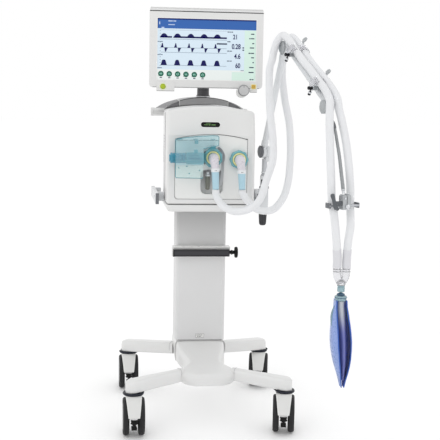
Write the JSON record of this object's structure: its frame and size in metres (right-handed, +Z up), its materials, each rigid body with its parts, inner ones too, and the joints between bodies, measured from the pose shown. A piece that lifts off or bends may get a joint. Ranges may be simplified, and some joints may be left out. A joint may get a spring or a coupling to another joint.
{
  "type": "mechanical ventilator",
  "caption": "Wheeled intensive-care ventilator with tilting monitor, two breathing hoses on a hinged support arm, and a hanging test lung.",
  "frame": {"origin": "centre of the bounding box's footprint, on the floor", "axes": "+Z up, front of the screen faces -Y, +X to the operator's right when looking at the screen"},
  "size_m": [0.683, 1.0152, 1.411],
  "materials": {
    "casing": "satin",
    "lacquer": "satin lacquer",
    "cover": "satin",
    "dark": "matte",
    "tyre": "matte",
    "arm": "satin",
    "teal": "gloss",
    "teal_dark": "gloss",
    "teal_clear": "gloss",
    "elbow": "gloss",
    "hose": "satin",
    "clear": "gloss",
    "screen": "gloss",
    "lime": "satin",
    "yellow": "satin",
    "trap": "satin",
    "bag": "satin silicone",
    "device": "satin",
    "housing": "satin"
  },
  "bodies": {
    "trolley": {"base_hub": "lacquer", "leg_front_left": "lacquer", "leg_front_right": "lacquer", "leg_rear_left": "lacquer", "leg_rear_right": "lacquer", "column_shell": "lacquer", "rail_bracket": "casing", "accessory_rail": "dark", "ventilator_tray": "casing", "side_rail_left": "arm", "side_rail_right": "arm", "push_handle": "casing", "front_casing": "casing", "rear_casing": "casing", "recess_panel": "casing", "top_cover": "cover", "gas_mixer_block": "device", "power_supply": "device", "insp_port_ring": "teal", "arm_clamp": "arm", "hose_expiratory": "hose", "hose_inspiratory": "hose"},
    "caster_front_left": {"caster_front_left_housing": "housing"},
    "caster_front_left_wheel_left": {"caster_front_left_wheel_left": "tyre"},
    "caster_front_left_wheel_right": {"caster_front_left_wheel_right": "tyre"},
    "caster_front_left_brake": {"caster_front_left_brake_pedal": "dark"},
    "caster_front_right": {"caster_front_right_housing": "housing"},
    "caster_front_right_wheel_left": {"caster_front_right_wheel_left": "tyre"},
    "caster_front_right_wheel_right": {"caster_front_right_wheel_right": "tyre"},
    "caster_front_right_brake": {"caster_front_right_brake_pedal": "dark"},
    "caster_rear_left": {"caster_rear_left_housing": "housing"},
    "caster_rear_left_wheel_left": {"caster_rear_left_wheel_left": "tyre"},
    "caster_rear_left_wheel_right": {"caster_rear_left_wheel_right": "tyre"},
    "caster_rear_left_brake": {"caster_rear_left_brake_pedal": "dark"},
    "caster_rear_right": {"caster_rear_right_housing": "housing"},
    "caster_rear_right_wheel_left": {"caster_rear_right_wheel_left": "tyre"},
    "caster_rear_right_wheel_right": {"caster_rear_right_wheel_right": "tyre"},
    "caster_rear_right_brake": {"caster_rear_right_brake_pedal": "dark"},
    "rail_knob": {"rail_knob": "dark"},
    "exp_valve_ring": {"exp_valve_ring": "teal"},
    "exp_elbow": {"exp_elbow": "elbow"},
    "insp_elbow": {"insp_elbow": "elbow"},
    "sensor_flap": {"sensor_flap": "teal_clear"},
    "flow_sensor": {"flow_sensor": "teal_dark"},
    "water_trap": {"water_trap": "trap"},
    "monitor_neck": {"monitor_neck": "cover"},
    "monitor": {"monitor_back": "casing", "monitor_bezel": "casing", "monitor_screen": "screen"},
    "dial_knob": {"dial_knob": "lacquer"},
    "power_button": {"power_button": "lime"},
    "pause_button": {"pause_button": "yellow"},
    "clamp_knob": {"clamp_knob": "dark"},
    "arm_post": {"arm_post": "arm"},
    "lower_arm": {"lower_arm": "arm"},
    "upper_arm": {"upper_arm": "arm"},
    "end_arm": {"end_arm": "arm", "hose_holder": "arm", "y_piece": "clear"},
    "test_lung": {"test_lung_bag": "bag"}
  },
  "joints": [
    {"name": "caster_front_left_swivel", "type": "hinge", "parent": "trolley", "child": "caster_front_left", "pos_m": [-0.3055, -0.09095, 0.147], "axis": [0, 0, 1], "continuous": true},
    {"name": "caster_front_left_wheel_left_spin", "type": "hinge", "parent": "caster_front_left", "child": "caster_front_left_wheel_left", "pos_m": [-0.331, -0.11095, 0.0625], "axis": [1, 0, 0], "continuous": true},
    {"name": "caster_front_left_wheel_right_spin", "type": "hinge", "parent": "caster_front_left", "child": "caster_front_left_wheel_right", "pos_m": [-0.28, -0.11095, 0.0625], "axis": [1, 0, 0], "continuous": true},
    {"name": "caster_front_left_brake_press", "type": "hinge", "parent": "caster_front_left", "child": "caster_front_left_brake", "pos_m": [-0.3055, -0.14795, 0.038], "axis": [1, 0, 0], "range_deg": [0, 12]},
    {"name": "caster_front_right_swivel", "type": "hinge", "parent": "trolley", "child": "caster_front_right", "pos_m": [0.1995, -0.09095, 0.147], "axis": [0, 0, 1], "continuous": true},
    {"name": "caster_front_right_wheel_left_spin", "type": "hinge", "parent": "caster_front_right", "child": "caster_front_right_wheel_left", "pos_m": [0.17091, -0.10622, 0.0625], "axis": [0.9848, -0.1736, 0], "continuous": true},
    {"name": "caster_front_right_wheel_right_spin", "type": "hinge", "parent": "caster_front_right", "child": "caster_front_right_wheel_right", "pos_m": [0.22114, -0.11507, 0.0625], "axis": [0.9848, -0.1736, 0], "continuous": true},
    {"name": "caster_front_right_brake_press", "type": "hinge", "parent": "caster_front_right", "child": "caster_front_right_brake", "pos_m": [0.1896, -0.14708, 0.038], "axis": [0.9848, -0.1736, 0], "range_deg": [0, 12]},
    {"name": "caster_rear_left_swivel", "type": "hinge", "parent": "trolley", "child": "caster_rear_left", "pos_m": [-0.3055, 0.46105, 0.147], "axis": [0, 0, 1], "continuous": true},
    {"name": "caster_rear_left_wheel_left_spin", "type": "hinge", "parent": "caster_rear_left", "child": "caster_rear_left_wheel_left", "pos_m": [-0.331, 0.44105, 0.0625], "axis": [1, 0, 0], "continuous": true},
    {"name": "caster_rear_left_wheel_right_spin", "type": "hinge", "parent": "caster_rear_left", "child": "caster_rear_left_wheel_right", "pos_m": [-0.28, 0.44105, 0.0625], "axis": [1, 0, 0], "continuous": true},
    {"name": "caster_rear_left_brake_press", "type": "hinge", "parent": "caster_rear_left", "child": "caster_rear_left_brake", "pos_m": [-0.3055, 0.40405, 0.038], "axis": [1, 0, 0], "range_deg": [0, 12]},
    {"name": "caster_rear_right_swivel", "type": "hinge", "parent": "trolley", "child": "caster_rear_right", "pos_m": [0.1995, 0.46105, 0.147], "axis": [0, 0, 1], "continuous": true},
    {"name": "caster_rear_right_wheel_left_spin", "type": "hinge", "parent": "caster_rear_right", "child": "caster_rear_right_wheel_left", "pos_m": [0.17091, 0.44578, 0.0625], "axis": [0.9848, -0.1736, 0], "continuous": true},
    {"name": "caster_rear_right_wheel_right_spin", "type": "hinge", "parent": "caster_rear_right", "child": "caster_rear_right_wheel_right", "pos_m": [0.22114, 0.43693, 0.0625], "axis": [0.9848, -0.1736, 0], "continuous": true},
    {"name": "caster_rear_right_brake_press", "type": "hinge", "parent": "caster_rear_right", "child": "caster_rear_right_brake", "pos_m": [0.1896, 0.40492, 0.038], "axis": [0.9848, -0.1736, 0], "range_deg": [0, 12]},
    {"name": "rail_knob_turn", "type": "hinge", "parent": "trolley", "child": "rail_knob", "pos_m": [0.062, 0.21805, 0.556], "axis": [1, 0, 0], "continuous": true},
    {"name": "exp_valve_ring_turn", "type": "hinge", "parent": "trolley", "child": "exp_valve_ring", "pos_m": [-0.049, -0.04065, 0.912], "axis": [0, 1, 0], "range_deg": [0, 30]},
    {"name": "exp_elbow_swivel", "type": "hinge", "parent": "trolley", "child": "exp_elbow", "pos_m": [-0.049, -0.02945, 0.912], "axis": [0, 1, 0], "range_deg": [-15, 15], "deforming": ["hose_expiratory"]},
    {"name": "insp_elbow_swivel", "type": "hinge", "parent": "trolley", "child": "insp_elbow", "pos_m": [0.038, -0.02945, 0.907], "axis": [0, 1, 0], "range_deg": [-15, 15], "deforming": ["hose_inspiratory"]},
    {"name": "sensor_flap_hinge", "type": "hinge", "parent": "trolley", "child": "sensor_flap", "pos_m": [-0.106, -0.03345, 0.9715], "axis": [-1, 0, 0], "range_deg": [0, 60]},
    {"name": "flow_sensor_pull", "type": "slide", "parent": "trolley", "child": "flow_sensor", "axis": [-1, 0, 0], "range_m": [0, 0.04]},
    {"name": "water_trap_pull", "type": "slide", "parent": "trolley", "child": "water_trap", "axis": [0, 0, -1], "range_m": [0, 0.012]},
    {"name": "monitor_swivel", "type": "hinge", "parent": "trolley", "child": "monitor_neck", "pos_m": [-0.053, 0.27105, 1.125], "axis": [0, 0, 1], "range_deg": [-45, 45]},
    {"name": "monitor_tilt", "type": "hinge", "parent": "monitor_neck", "child": "monitor", "pos_m": [-0.053, 0.27105, 1.185], "axis": [-1, 0, 0], "range_deg": [0, 20]},
    {"name": "dial_knob_turn", "type": "hinge", "parent": "monitor", "child": "dial_knob", "pos_m": [0.0766, 0.15905, 1.133], "axis": [0, -1, 0], "continuous": true},
    {"name": "power_button_press", "type": "slide", "parent": "monitor", "child": "power_button", "axis": [0, 1, 0], "range_m": [0, 0.002], "stiffness_N_per_m": 300, "springref_m": -0.001},
    {"name": "pause_button_press", "type": "slide", "parent": "monitor", "child": "pause_button", "axis": [0, 1, 0], "range_m": [0, 0.002], "stiffness_N_per_m": 300, "springref_m": -0.001},
    {"name": "clamp_knob_turn", "type": "hinge", "parent": "trolley", "child": "clamp_knob", "pos_m": [0.1395, 0.07105, 0.7], "axis": [0, 0, 1], "continuous": true},
    {"name": "arm_swivel", "type": "hinge", "parent": "trolley", "child": "arm_post", "pos_m": [0.142, 0.07105, 0.82], "axis": [0, 0, 1], "range_deg": [-15, 45], "deforming": ["hose_expiratory", "hose_inspiratory"]},
    {"name": "lower_arm_pivot", "type": "hinge", "parent": "arm_post", "child": "lower_arm", "pos_m": [0.142, 0.07105, 0.9274], "axis": [-0.9659, -0.2588, 0], "range_deg": [-15, 10], "deforming": ["hose_expiratory", "hose_inspiratory"]},
    {"name": "upper_arm_pivot", "type": "hinge", "parent": "lower_arm", "child": "upper_arm", "pos_m": [0.18127, -0.07551, 1.2747], "axis": [-0.9659, -0.2588, 0], "range_deg": [-12, 20], "deforming": ["hose_expiratory", "hose_inspiratory"]},
    {"name": "end_arm_pivot", "type": "hinge", "parent": "upper_arm", "child": "end_arm", "pos_m": [0.25887, -0.3651, 1.09026], "axis": [0.9659, 0.2588, 0], "range_deg": [-30, 30], "deforming": ["hose_expiratory", "hose_inspiratory"]},
    {"name": "test_lung_swing", "type": "hinge", "parent": "end_arm", "child": "test_lung", "pos_m": [0.297, -0.44895, 0.5415], "axis": [0, 1, 0], "range_deg": [-20, 20]}
  ]
}
